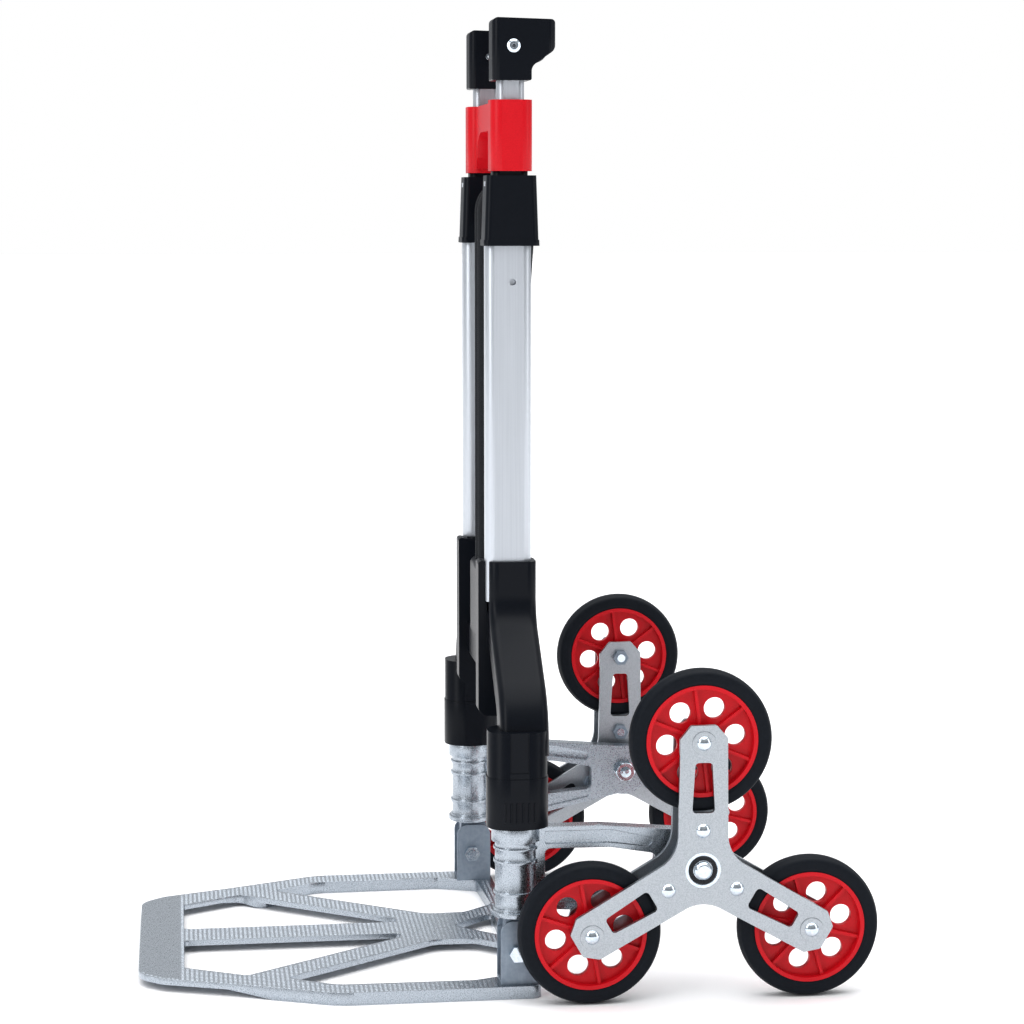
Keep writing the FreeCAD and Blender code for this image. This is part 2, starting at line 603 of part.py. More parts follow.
def toe_plate():
    """Cast plate: deep side rims and rear bar, thin webs and lip, five windows, a seat per bracket."""
    front = -PLATE_FRONT
    wide = PLATE_HALF_WIDTH
    right = [(FRONT_CORNER + 16, front, 26), (132, -296, 20), (SHOULDER[0], SHOULDER[1], 40),
             (wide, WIDEST_Y, 60), (wide, PLATE_REAR, 8)]
    left = [(-x, y, radius) for x, y, radius in reversed(right)]
    plate = prism_z(right + left, PLATE_BOTTOM, PLATE_TOP)
    front_window = [(19, -277, 4), (101, -277, 5), (130, -224, 8), (31, -86, 6), (19, -84, 4)]
    side_window = [(141, -191, 3), (166, -150, 30), (168, -34, 10), (154, 4, 8), (68, 8, 8),
                   (44, -20, 12), (43, -56, 20)]
    rear_window = [(0, -34, 3), (38, 6, 4), (-38, 6, 4)]
    tools = web_relief()
    tools.append(prism_z(rear_window, PLATE_BOTTOM, PLATE_TOP))
    for window in (front_window, side_window):
        opening = prism_z(window, PLATE_BOTTOM, PLATE_TOP)
        tools += [opening, mirrored(opening)]
    seat = box(POST_X - LUG_OUTER - SEAT_MARGIN, POST_X + LUG_OUTER + SEAT_MARGIN,
               LUG_FRONT - SEAT_MARGIN, LUG_REAR + SEAT_MARGIN, FOOT_BOTTOM, PLATE_TOP)
    tools += [seat, mirrored(seat)]
    for sign in (1, -1):
        tools += [rod_z(2.5, PLATE_BOTTOM + 1, PLATE_TOP, sign * POST_X, y) for y in BRACKET_RIVET_Y]
    return cut(plate, *tools)


# ---------------------------------------------------------------- wheel brackets
BARREL_RADIUS = 17.3
BARREL_BORE = 10.5
BARREL_BOTTOM = 68.6
BARREL_TOP = 144.0
CAP_RING_Z = 132.0
CAP_RING_RADIUS = 20.3
RIB_RADIUS = 18.6
RIB_HEIGHTS = ((125.0, 127.4), (113.5, 116.5), (86.5, 89.5), (73.0, 75.0))
FLANGE_RADIUS = 20.5
FLANGE_TOP = 73.0
ARM_X = (164.0, 178.0)
HUB_DISC_RADIUS = 24.0
HUB_DISC_X = (ARM_X[0], 187.0)
AXLE_RADIUS = 5.0
BUSH_LENGTH = 18.0


def arm_casting():
    """Cast wheel bracket: barrel on the post, open two-beam arm, disc for the star's axle."""
    x, bore_bottom, bore_top = POST_X, BARREL_BOTTOM, BARREL_TOP
    barrel = rod_z(BARREL_RADIUS, bore_bottom, bore_top, x, 0)
    rings = [rod_z(CAP_RING_RADIUS, CAP_RING_Z, bore_top, x, 0),
             rod_z(FLANGE_RADIUS, bore_bottom, FLANGE_TOP, x, 0)]
    rings += [rod_z(RIB_RADIUS, z0, z1, x, 0) for z0, z1 in RIB_HEIGHTS]
    outline = [(8, 74, 0), (60, 71, 60), (HUB_Y - 6, HUB_Z - 23.2, 0), (HUB_Y, HUB_Z + 23.5, 0),
               (HUB_Y - 26, HUB_Z + 25.5, 40), (70, 143.5, 60), (8, 143.5, 0)]
    arm = prism_x(outline, *ARM_X)
    root = 24.0               # where the window and the grooves start, just behind the barrel
    window = [(root, 98, 5), (56, 90, 30), (118, 96, 5), (118, 118, 5), (80, 124.5, 40), (root, 125, 5)]
    opening = prism_x(window, ARM_X[0] - 1, ARM_X[1] + 1)
    groove_depth = 2.0
    upper_groove = [(root, 129, 2), (80, 128.5, 30), (112, 124, 3), (118, 131, 3), (80, 139.5, 30),
                    (root, 139.5, 2)]
    lower_groove = [(root, 80, 3), (60, 76.5, 40), (116, 88.5, 1), (111, 92, 1), (56, 84.5, 30),
                    (root, 92, 3)]
    grooves = []
    for outline in (upper_groove, lower_groove):
        grooves.append(prism_x(outline, ARM_X[0] - 1, ARM_X[0] + groove_depth))
        grooves.append(prism_x(outline, ARM_X[1] - groove_depth, ARM_X[1] + 1))
    arm = cut(arm, opening, *grooves)
    disc = rod_x(HUB_DISC_RADIUS, HUB_DISC_X[0], ARM_X[1], HUB_Y, HUB_Z)
    boss = rod_x(14.0, ARM_X[1] - 1, HUB_DISC_X[1], HUB_Y, HUB_Z)
    body = fuse(barrel, arm, disc, boss, *rings)
    axle_way = rod_x(AXLE_RADIUS, HUB_DISC_X[0] - 1, HUB_DISC_X[1] + 1, HUB_Y, HUB_Z)
    bore = rod_z(BARREL_BORE, bore_bottom - 1, bore_top + 1, x, 0)
    return cut(body, bore, axle_way)


def barrel_bush(z0, z1):
    """Plastic bush pressed into the barrel, running on the post."""
    return cut(rod_z(BARREL_BORE, z0, z1, POST_X, 0), rod_z(POST_RADIUS + FIT, z0, z1, POST_X, 0))


# ---------------------------------------------------------------- wheel stars
PLATE_THICKNESS = 4.0
STAR_GAP = 12.5           # inner faces of the star plates, from the star's middle plane
LOBE_HALF = 20.0          # half width of a lobe at its wheel end
ROOT_HALF = 22.5          # half width of a lobe where it meets the hub
HUB_RING_RADIUS = 18.0
BEARING_RADIUS = 15.0
BEARING_WIDTH = 9.0
SPACER_BOLT_RADIUS = 33.3
BOLT_RADIUS = 4.0
BOLT_HEAD_RADIUS = 6.2
BOLT_HEAD_HEIGHT = 3.0


def star_outline():
    """Three identical lobes about the star axle, joined by rounded valleys."""
    valley = (ROOT_HALF + LOBE_HALF) / 2 / math.sin(math.radians(60))
    tip = [(STAR_ARM + 4.0, LOBE_HALF, 3), (STAR_ARM + 15.0, 10.7, 3)]
    corners = []
    for direction in LOBES:
        along = Vector(math.cos(math.radians(direction)), math.sin(math.radians(direction)), 0)
        across = Vector(-along.y, along.x, 0)
        for out, half, radius in [(item[0], -item[1], item[2]) for item in tip]:
            point = along * out + across * half
            corners.append((HUB_Y + point.x, HUB_Z + point.y, radius))
        for out, half, radius in reversed(tip):
            point = along * out + across * half
            corners.append((HUB_Y + point.x, HUB_Z + point.y, radius))
        angle = math.radians(direction + 60)
        corners.append((HUB_Y + valley * math.cos(angle), HUB_Z + valley * math.sin(angle), 30))
    return corners


def lobe_slot(direction, x0, x1):
    """Tapered slot between a lobe's wheel axle and its spacer bolt."""
    along = Vector(math.cos(math.radians(direction)), math.sin(math.radians(direction)), 0)
    across = Vector(-along.y, along.x, 0)
    corners = []
    for out, half, radius in ((48.5, -9.5, 3.5), (90.5, -7.0, 3), (90.5, 7.0, 3), (48.5, 9.5, 3.5)):
        point = along * out + across * half
        corners.append((HUB_Y + point.x, HUB_Z + point.y, radius))
    return prism_x(corners, x0, x1)


def star_plate(x0, x1, boss_x0, boss_x1):
    """One cheek of the star, with raised bosses round the three wheel axles."""
    plate = prism_x(star_outline(), x0, x1)
    bosses = [rod_x(10.0, boss_x0, boss_x1, *lobe_point(STAR_ARM, d)) for d in LOBES]
    tools = [lobe_slot(d, x0 - 1, x1 + 1) for d in LOBES]
    tools.append(rod_x(BEARING_RADIUS, x0 - 1, x1 + 1, HUB_Y, HUB_Z))
    for direction in LOBES:
        for radius in (STAR_ARM, SPACER_BOLT_RADIUS):
            tools.append(rod_x(BOLT_RADIUS, x0 - 3, x1 + 3, *lobe_point(radius, direction)))
    return cut(fuse(plate, *bosses), *tools)


def star_plate_outer():
    x0 = STAR_X + STAR_GAP
    x1 = x0 + PLATE_THICKNESS
    return star_plate(x0, x1, x1 - 1, x1 + 0.8)


def star_plate_inner():
    x1 = STAR_X - STAR_GAP
    x0 = x1 - PLATE_THICKNESS
    return star_plate(x0, x1, x0 + 1, x0 + 2)


def star_hub():
    """Sleeve between the cheeks that carries a ball bearing at each end."""
    sleeve = rod_x(HUB_RING_RADIUS, STAR_X - STAR_GAP, STAR_X + STAR_GAP, HUB_Y, HUB_Z)
    through = rod_x(12.0, STAR_X - STAR_GAP, STAR_X + STAR_GAP, HUB_Y, HUB_Z)
    seats = [rod_x(BEARING_RADIUS, *span, HUB_Y, HUB_Z) for span in bearing_spans()]
    return cut(sleeve, through, *seats)


def bearing_spans():
    """X spans of the two bearings, one flush with the outer face of each cheek."""
    outer_face = STAR_X + STAR_GAP + PLATE_THICKNESS
    inner_face = STAR_X - STAR_GAP - PLATE_THICKNESS
    return [(outer_face - BEARING_WIDTH, outer_face), (inner_face, inner_face + BEARING_WIDTH)]


def bearing(x0, x1):
    """Ball bearing: outer and inner race with a recessed shield between them."""
    profile = [(x0, AXLE_RADIUS + FIT, 0), (x1, AXLE_RADIUS + FIT, 0), (x1, 8.2, 0.4),
               (x1 - 0.7, 8.2, 0), (x1 - 0.7, 12.2, 0), (x1, 12.2, 0.4), (x1, BEARING_RADIUS, 0),
               (x0, BEARING_RADIUS, 0), (x0, 12.2, 0.4), (x0 + 0.7, 12.2, 0), (x0 + 0.7, 8.2, 0),
               (x0, 8.2, 0.4)]
    return revolve_x(profile, HUB_Y, HUB_Z)


def star_axle():
    """M10 bolt from the arm's disc through both bearings, with a domed head outside the star."""
    outer_face = STAR_X + STAR_GAP + PLATE_THICKNESS
    nut_end = HUB_DISC_X[0] - 12.0
    shank = rod_x(AXLE_RADIUS, nut_end, outer_face + 1, HUB_Y, HUB_Z)
    head = revolve_x([(outer_face + GAP, 0, 0), (outer_face + 4.5, 0, 0), (outer_face + 4.5, 5.5, 1.5),
                      (outer_face + 2.4, 7.6, 1.0), (outer_face + GAP, 7.6, 0)], HUB_Y, HUB_Z)
    collar = rod_x(7.8, HUB_DISC_X[1], STAR_X - STAR_GAP - PLATE_THICKNESS - FIT, HUB_Y, HUB_Z)
    return fuse(shank, head, collar)


def star_axle_nut():
    x1 = HUB_DISC_X[0]
    washer = rod_x(10.5, x1 - 2.0, x1, HUB_Y, HUB_Z)
    nut = hexagon_x(17.0, x1 - 10.0, x1 - 2.0, HUB_Y, HUB_Z)
    chamfer = revolve_x([(x1 - 10.0, 0, 0), (x1 - 2.0, 0, 0), (x1 - 2.0, 10.5, 0), (x1 - 9.0, 9.8, 0),
                         (x1 - 10.0, 8.4, 0)], HUB_Y, HUB_Z)
    return cut(fuse(washer, nut.common(chamfer)), rod_x(AXLE_RADIUS, x1 - 12, x1 + 1, HUB_Y, HUB_Z))


def star_bolts():
    """M8 bolts of one star: three wheel axles and three spacer bolts, low round heads outside."""
    face = STAR_X + STAR_GAP + PLATE_THICKNESS
    back = STAR_X - STAR_GAP - PLATE_THICKNESS - 6.5
    bolts = []
    for direction in LOBES:
        for radius, seat in ((STAR_ARM, face + 0.8), (SPACER_BOLT_RADIUS, face)):
            y, z = lobe_point(radius, direction)
            shank = rod_x(BOLT_RADIUS, back, seat + 1, y, z)
            head = dome_x(BOLT_HEAD_RADIUS, BOLT_HEAD_HEIGHT, seat, y, z)
            bolts.append(fuse(shank, head))
    return bolts


def star_nuts():
    """Hexagon nuts of the same six bolts, inside the inner cheek."""
    face = STAR_X - STAR_GAP - PLATE_THICKNESS
    nuts = []
    for direction in LOBES:
        for radius in (STAR_ARM, SPACER_BOLT_RADIUS):
            y, z = lobe_point(radius, direction)
            nut = hexagon_x(13.0, face - 6.0, face, y, z)
            nuts.append(cut(nut, rod_x(BOLT_RADIUS, face - 7, face + 1, y, z)))
    return nuts


def star_spacers():
    """Tubes round the three inner bolts that keep the cheeks apart."""
    spacers = []
    for direction in LOBES:
        y, z = lobe_point(SPACER_BOLT_RADIUS, direction)
        tube = rod_x(6.5, STAR_X - STAR_GAP, STAR_X + STAR_GAP, y, z)
        spacers.append(cut(tube, rod_x(BOLT_RADIUS, STAR_X - 20, STAR_X + 20, y, z)))
    return spacers


# ---------------------------------------------------------------- wheels
TREAD_HALF = 3.0          # half width of the flat middle of the tread
RIM_RADIUS = 47.0
RIM_LIP = 43.5
RIM_HUB_RADIUS = 12.5
WEB_HALF = 3.0
WHEEL_BORE = BOLT_RADIUS + FIT
HOLE_RADIUS = 9.0
HOLE_CIRCLE = 29.0
RIM_PHASES = {"top": 7.5, "front": 10.5, "rear": 16.0}
WHEEL_SPOTS = (("top", 90), ("front", 210), ("rear", 330))


def tyre(direction):
    """Solid rubber tyre with rounded shoulders and a low crown."""
    y, z = lobe_point(STAR_ARM, direction)
    half = TYRE_WIDTH / 2
    profile = [(STAR_X - half + 1.2, RIM_RADIUS, 0), (STAR_X + half - 1.2, RIM_RADIUS, 0),
               (STAR_X + half, RIM_RADIUS + 3, 1), (STAR_X + half, WHEEL_RADIUS - 2.5, 3.5),
               (STAR_X + TREAD_HALF, WHEEL_RADIUS, 8), (STAR_X - TREAD_HALF, WHEEL_RADIUS, 8),
               (STAR_X - half, WHEEL_RADIUS - 2.5, 3.5), (STAR_X - half, RIM_RADIUS + 3, 1)]
    return revolve_x(profile, y, z)


def rim(direction, phase):
    """Moulded wheel centre: lipped rim, thin web with six round holes, six ribs and a hub."""
    y, z = lobe_point(STAR_ARM, direction)
    half = TYRE_WIDTH / 2 - 0.6
    hub_half = STAR_GAP - FIT
    band = cut(rod_x(RIM_RADIUS, STAR_X - half, STAR_X + half, y, z),
               rod_x(RIM_LIP, STAR_X - half, STAR_X + half, y, z))
    web = rod_x(RIM_LIP + 1, STAR_X - WEB_HALF, STAR_X + WEB_HALF, y, z)
    for i in range(6):
        angle = math.radians(phase + 60 * i)
        hole = rod_x(HOLE_RADIUS, STAR_X - half, STAR_X + half,
                     y + HOLE_CIRCLE * math.cos(angle), z + HOLE_CIRCLE * math.sin(angle))
        web = web.cut(hole)
    ribs = []
    for i in range(6):
        rib = box(STAR_X - half + 2.5, STAR_X + half - 2.5, y - 1.4, y + 1.4,
                  z + RIM_HUB_RADIUS - 2, z + RIM_LIP + 1)
        rib.rotate(Vector(STAR_X, y, z), Vector(1, 0, 0), phase + 30 + 60 * i - 90)
        ribs.append(rib)
    hub = rod_x(RIM_HUB_RADIUS, STAR_X - hub_half, STAR_X + hub_half, y, z)
    body = fuse(band, web, hub, *ribs)
    return cut(body, rod_x(WHEEL_BORE, STAR_X - 20, STAR_X + 20, y, z))


# ---------------------------------------------------------------- writing the pieces
def write_frame():
    for side, sign in SIDES:
        write("outer_tube_" + side, on_side(outer_tube(), sign))
        write("upper_collar_" + side, on_side(cut(upper_collar(), collar_crosspiece()), sign))
        write("lower_housing_" + side, on_side(lower_housing(), sign))
        write("knuckle_" + side, on_side(knuckle(), sign))
        write("elastic_cord_" + side, elastic_cord(sign * CORD_X, "elastic_cord_" + side))
    columns = [prism_z(column_profile(TUBE_Y, TUBE_SIZE, 0, TUBE_CORNER), TUBE_BOTTOM, TUBE_TOP)]
    columns.append(mirrored(columns[0]))
    write("collar_crosspiece", cut(collar_crosspiece(), *columns))
    write("lower_crossbar", fuse(lower_crossbar(), cord_anchor()))
    write("tube_guides", [on_side(tube_guide(), sign) for _, sign in SIDES])
    write("pivot_posts", [on_side(pivot_post(), sign) for _, sign in SIDES])
    fasteners = [hinge_bolt(), hinge_nut()]
    write("hinge_fasteners", [on_side(piece, sign) for _, sign in SIDES for piece in fasteners])


def write_handle():
    rivet_hole = rod_x(3.0, CAP_X[0], CAP_X[1], RIVET_Y, RIVET_Z)
    for side, sign in SIDES:
        write("inner_tube_" + side, on_side(cut(inner_tube(), rivet_hole), sign))
        write("handle_cap_" + side, on_side(handle_cap(), sign))
    write("grip", grip())
    write("grip_core", grip_core())
    write("cap_rivets", [on_side(cap_rivet(), sign) for _, sign in SIDES])
    write("tube_end_plugs", [on_side(tube_end_plug(), sign) for _, sign in SIDES])
    write("release_bar", release_bar())


def write_toe_plate():
    write("toe_plate", toe_plate())
    for side, sign in SIDES:
        write("toe_bracket_" + side, on_side(toe_bracket(), sign))
    write("bracket_rivets", [bracket_rivet(sign, y) for _, sign in SIDES for y in BRACKET_RIVET_Y])


def write_wheels():
    bushes = [barrel_bush(BARREL_BOTTOM, BARREL_BOTTOM + BUSH_LENGTH),
              barrel_bush(BARREL_TOP - BUSH_LENGTH, BARREL_TOP)]
    for side, sign in SIDES:
        write("arm_casting_" + side, on_side(arm_casting(), sign))
        write("barrel_bushes_" + side, [on_side(bush, sign) for bush in bushes])
        write("star_axle_" + side, [on_side(piece, sign) for piece in (star_axle(), star_axle_nut())])
        write("star_plate_outer_" + side, on_side(star_plate_outer(), sign))
        write("star_plate_inner_" + side, on_side(star_plate_inner(), sign))
        write("star_hub_" + side, on_side(star_hub(), sign))
        write("star_bearings_" + side, [on_side(bearing(*span), sign) for span in bearing_spans()])
        write("star_bolts_" + side, [on_side(bolt, sign) for bolt in star_bolts()])
        write("star_nuts_" + side, [on_side(nut, sign) for nut in star_nuts()])
        write("star_spacers_" + side, [on_side(spacer, sign) for spacer in star_spacers()])
        for spot, direction in WHEEL_SPOTS:
            write("tyre_%s_%s" % (side, spot), on_side(tyre(direction), sign))
            write("rim_%s_%s" % (side, spot), on_side(rim(direction, RIM_PHASES[spot]), sign))


os.makedirs("parts", exist_ok=True)
write_frame()
write_handle()
write_toe_plate()
write_wheels()
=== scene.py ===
import json
import math

import bmesh
import bpy
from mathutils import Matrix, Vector
from mathutils.bvhtree import BVHTree


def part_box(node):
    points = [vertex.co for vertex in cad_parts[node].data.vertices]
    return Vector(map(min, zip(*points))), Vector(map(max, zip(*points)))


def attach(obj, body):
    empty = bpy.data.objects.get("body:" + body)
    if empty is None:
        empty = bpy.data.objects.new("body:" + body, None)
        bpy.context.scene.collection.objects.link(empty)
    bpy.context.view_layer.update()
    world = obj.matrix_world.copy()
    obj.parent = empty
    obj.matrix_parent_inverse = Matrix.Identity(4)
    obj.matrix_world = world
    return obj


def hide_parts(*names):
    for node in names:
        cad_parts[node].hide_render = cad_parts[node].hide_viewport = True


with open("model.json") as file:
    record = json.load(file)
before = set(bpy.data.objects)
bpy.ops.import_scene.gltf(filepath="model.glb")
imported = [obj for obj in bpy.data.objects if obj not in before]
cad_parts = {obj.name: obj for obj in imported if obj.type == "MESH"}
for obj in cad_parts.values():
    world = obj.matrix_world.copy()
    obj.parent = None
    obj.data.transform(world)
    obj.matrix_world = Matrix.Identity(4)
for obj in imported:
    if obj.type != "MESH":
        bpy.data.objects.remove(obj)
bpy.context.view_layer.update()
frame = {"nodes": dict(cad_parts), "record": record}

NODES = frame["nodes"]
MM = 0.001


# ---------------------------------------------------------------- camera and cords
CAMERA_AT = Vector((2.2871, -0.2681, 0.6639))
CAMERA_YAW = math.radians(7.319)    # turned back from square on to the right side
CAMERA_PITCH = math.radians(6.826)  # looking down
CAMERA_LENS = 91.46                 # in the camera's own millimetres, as is its sensor
SENSOR_WIDTH = 36.0


def add_camera():
    """Long lens at the right side, a little ahead of the truck and looking slightly down."""
    level = math.cos(CAMERA_PITCH)
    forward = Vector((-math.cos(CAMERA_YAW) * level, math.sin(CAMERA_YAW) * level,
                      -math.sin(CAMERA_PITCH)))
    data = bpy.data.cameras.new("camera")
    data.lens = CAMERA_LENS
    data.sensor_width = SENSOR_WIDTH
    camera = bpy.data.objects.new("camera", data)
    camera.location = CAMERA_AT
    camera.rotation_euler = forward.to_track_quat("-Z", "Y").to_euler()
    bpy.context.scene.collection.objects.link(camera)
    bpy.context.scene.camera = camera


CORD_DIAMETER = 8 * MM
CORD_TOP = 676 * MM                 # middle of the cord where it crosses the crosspiece
CORD_FRONT_FROM_POST = -9 * MM      # front strand, measured back from the middle of the pivot posts
CORD_BACK_FROM_POST = 36 * MM       # top of the back strand
CORD_ANCHOR_FROM_POST = 15 * MM     # foot of the back strand
STRAIGHT_END = 6 * CORD_DIAMETER    # a taut strand stays straight up to here from the crosspiece


def elastic_cord(side, black):
    """Taut luggage cord: up from the anchor, over the crosspiece and down behind it."""
    low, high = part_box("elastic_cord_" + side)
    x = (low.x + high.x) / 2
    bottom = low.z
    post_y = sum(corner.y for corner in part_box("pivot_posts")) / 2
    front = post_y + CORD_FRONT_FROM_POST
    back = post_y + CORD_BACK_FROM_POST
    foot = Vector((x, post_y + CORD_ANCHOR_FROM_POST, bottom))
    back_top = Vector((x, back, CORD_TOP))
    along_back = (foot - back_top).normalized()
    route = [Vector((x, front, bottom)),
             Vector((x, front, CORD_TOP - STRAIGHT_END)),
             Vector((x, front, CORD_TOP)),
             back_top,
             back_top + along_back * STRAIGHT_END,
             foot]
    data = bpy.data.curves.new("elastic_" + side, "CURVE")
    data.dimensions = "3D"
    data.bevel_depth = CORD_DIAMETER / 2
    data.bevel_resolution = 6
    data.resolution_u = 24
    spline = data.splines.new("NURBS")
    spline.points.add(len(route) - 1)
    for point, place in zip(spline.points, route):
        point.co = (*place, 1)
    spline.order_u = 3
    spline.use_endpoint_u = True
    data.materials.append(black)
    cord = bpy.data.objects.new("elastic_" + side, data)
    bpy.context.scene.collection.objects.link(cord)
    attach(cord, "frame")
    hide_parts("elastic_cord_" + side)


# ---------------------------------------------------------------- material helpers
def new_material(name, color, metallic, roughness, specular=0.5):
    material = bpy.data.materials.new(name)
    material.use_nodes = True
    surface = material.node_tree.nodes["Principled BSDF"]
    surface.inputs["Base Color"].default_value = (*color, 1)
    surface.inputs["Metallic"].default_value = metallic
    surface.inputs["Roughness"].default_value = roughness
    surface.inputs["Specular IOR Level"].default_value = specular
    return material


def surface_of(material):
    return material.node_tree.nodes["Principled BSDF"]


def noise(material, scale, detail=4, stretch=(1, 1, 1)):
    """Noise in the piece's own coordinates; a small stretch value draws it out along that axis."""
    nodes, links = material.node_tree.nodes, material.node_tree.links
    place = nodes.new("ShaderNodeTexCoord")
    mapping = nodes.new("ShaderNodeMapping")
    mapping.inputs["Scale"].default_value = stretch
    texture = nodes.new("ShaderNodeTexNoise")
    texture.inputs["Scale"].default_value = scale
    texture.inputs["Detail"].default_value = detail
    links.new(place.outputs["Object"], mapping.inputs["Vector"])
    links.new(mapping.outputs["Vector"], texture.inputs["Vector"])
    return texture.outputs["Fac"]


def vary_color(material, pattern, dark, light, low=0.35, high=0.65):
    """Base colour between two shades, following a pattern."""
    nodes, links = material.node_tree.nodes, material.node_tree.links
    ramp = nodes.new("ShaderNodeValToRGB")
    ramp.color_ramp.elements[0].position = low
    ramp.color_ramp.elements[0].color = (*dark, 1)
    ramp.color_ramp.elements[1].position = high
    ramp.color_ramp.elements[1].color = (*light, 1)
    links.new(pattern, ramp.inputs["Fac"])
    links.new(ramp.outputs["Color"], surface_of(material).inputs["Base Color"])


def vary_roughness(material, pattern, low, high):
    """Roughness between two values, following a pattern."""
    nodes, links = material.node_tree.nodes, material.node_tree.links
    span = nodes.new("ShaderNodeMapRange")
    span.inputs["From Min"].default_value = 0.3
    span.inputs["From Max"].default_value = 0.7
    span.inputs["To Min"].default_value = low
    span.inputs["To Max"].default_value = high
    links.new(pattern, span.inputs["Value"])
    links.new(span.outputs["Result"], surface_of(material).inputs["Roughness"])


def add_bump(material, pattern, strength, distance):
    """Fine relief from a pattern, laid over any relief the material already has."""
    nodes, links = material.node_tree.nodes, material.node_tree.links
    normal = surface_of(material).inputs["Normal"]
    bump = nodes.new("ShaderNodeBump")
    bump.inputs["Strength"].default_value = strength
    bump.inputs["Distance"].default_value = distance
    links.new(pattern, bump.inputs["Height"])
    if normal.is_linked:
        links.new(normal.links[0].from_socket, bump.inputs["Normal"])
    links.new(bump.outputs["Normal"], normal)


# ---------------------------------------------------------------- materials
def tube_aluminium():
    """Satin anodised extrusion with faint drawing lines along the tube."""
    material = new_material("tube_aluminium", (0.57, 0.59, 0.64), 0.80, 0.40)
    lines = noise(material, 900, 2, (1, 1, 0.01))
    vary_color(material, lines, (0.55, 0.58, 0.62), (0.59, 0.62, 0.66))
    vary_roughness(material, lines, 0.36, 0.46)
    add_bump(material, lines, 0.06, 0.1 * MM)
    return material


def cast_aluminium(name, dark, light, grain, sheen):
    """Tumbled casting: a fine, sparkling grain over an even grey."""
    material = new_material(name, light, 0.95, sheen)
    fine = noise(material, grain, 6)
    vary_color(material, fine, dark, light, 0.35, 0.60)
    vary_roughness(material, fine, sheen - 0.06, sheen + 0.08)
    add_bump(material, fine, 0.14, 0.12 * MM)
    return material


def zinc_steel():
    """Zinc-plated sheet: an even bluish grey, matt, with a faint rolling direction."""
    material = new_material("zinc_steel", (0.29, 0.34, 0.40), 0.70, 0.50)
    rolled = noise(material, 700, 2, (1, 1, 0.03))
    spangle = noise(material, 260, 3)
    vary_color(material, spangle, (0.27, 0.32, 0.38), (0.31, 0.36, 0.42))
    vary_roughness(material, rolled, 0.42, 0.56)
    add_bump(material, rolled, 0.08, 0.1 * MM)
    return material


def bright_steel():
    """Bright-plated bolts and rivets with a trace of tool marks."""
    material = new_material("bright_steel", (0.66, 0.72, 0.78), 1.0, 0.12)
    marks = noise(material, 500, 3)
    vary_color(material, marks, (0.58, 0.65, 0.72), (0.72, 0.78, 0.83))
    vary_roughness(material, marks, 0.08, 0.18)
    add_bump(material, marks, 0.04, 0.1 * MM)
    return material


def bearing_seal():
    """Dark rubber ring between the races of a ball bearing."""
    material = new_material("bearing_seal", (0.020, 0.022, 0.026), 0.0, 0.45, 0.30)
    grease = noise(material, 700, 3)
    vary_color(material, grease, (0.012, 0.014, 0.018), (0.035, 0.037, 0.042))
    vary_roughness(material, grease, 0.35, 0.60)
    return material


def black_plastic():
    """Satin moulded plastic, slightly blue, with a fine eroded texture."""
    material = new_material("black_plastic", (0.003, 0.005, 0.009), 0.0, 0.34, 0.22)
    fine = noise(material, 1400, 3)
    vary_color(material, fine, (0.002, 0.004, 0.008), (0.004, 0.006, 0.011))
    vary_roughness(material, fine, 0.30, 0.40)
    add_bump(material, fine, 0.12, 0.08 * MM)
    return material


def grey_nylon():
    """Plain grey bearing plastic."""
    material = new_material("grey_nylon", (0.50, 0.51, 0.52), 0.0, 0.50)
    fine = noise(material, 800, 3)
    vary_color(material, fine, (0.45, 0.46, 0.47), (0.54, 0.55, 0.56))
    add_bump(material, fine, 0.10, 0.1 * MM)
    return material


def red_plastic():
    """Moulded red plastic with a soft gloss and a very fine grain."""
    material = new_material("red_plastic", (0.58, 0.006, 0.016), 0.0, 0.34, 0.30)
    fine = noise(material, 1200, 2)
    vary_color(material, fine, (0.55, 0.005, 0.014), (0.61, 0.007, 0.018))
    vary_roughness(material, fine, 0.30, 0.40)
    add_bump(material, fine, 0.06, 0.08 * MM)
    return material


def tyre_rubber():
    """Matt solid rubber, very slightly dusty."""
    material = new_material("tyre_rubber", (0.006, 0.009, 0.014), 0.0, 0.60, 0.22)
    pores = noise(material, 1600, 3)
    dust = noise(material, 350, 4)
    vary_color(material, dust, (0.004, 0.007, 0.012), (0.008, 0.011, 0.017))
    vary_roughness(material, dust, 0.54, 0.68)
    add_bump(material, pores, 0.20, 0.1 * MM)
    return material


def grip_rubber():
    """Soft foam rubber with open pores."""
    material = new_material("grip_rubber", (0.014, 0.016, 0.020), 0.0, 0.70)
    foam = noise(material, 1100, 4)
    vary_color(material, foam, (0.010, 0.012, 0.016), (0.020, 0.023, 0.028))
    add_bump(material, foam, 0.35, 0.2 * MM)
    return material


def black_elastic():
    """Woven sheath: two slanting sets of threads cross all along the cord."""
    material = new_material("black_elastic", (0.010, 0.012, 0.015), 0.0, 0.80)
    nodes, links = material.node_tree.nodes, material.node_tree.links
    place = nodes.new("ShaderNodeTexCoord")
    for tilt in (35, -35):
        mapping = nodes.new("ShaderNodeMapping")
        mapping.inputs["Rotation"].default_value = (math.radians(tilt), 0, 0)
        threads = nodes.new("ShaderNodeTexWave")
        threads.bands_direction = "Z"
        threads.inputs["Scale"].default_value = 220
        links.new(place.outputs["Object"], mapping.inputs["Vector"])
        links.new(mapping.outputs["Vector"], threads.inputs["Vector"])
        add_bump(material, threads.outputs["Fac"], 0.5, 0.3 * MM)
    fuzz = noise(material, 900, 4)
    vary_color(material, fuzz, (0.007, 0.009, 0.012), (0.018, 0.021, 0.026))
    return material


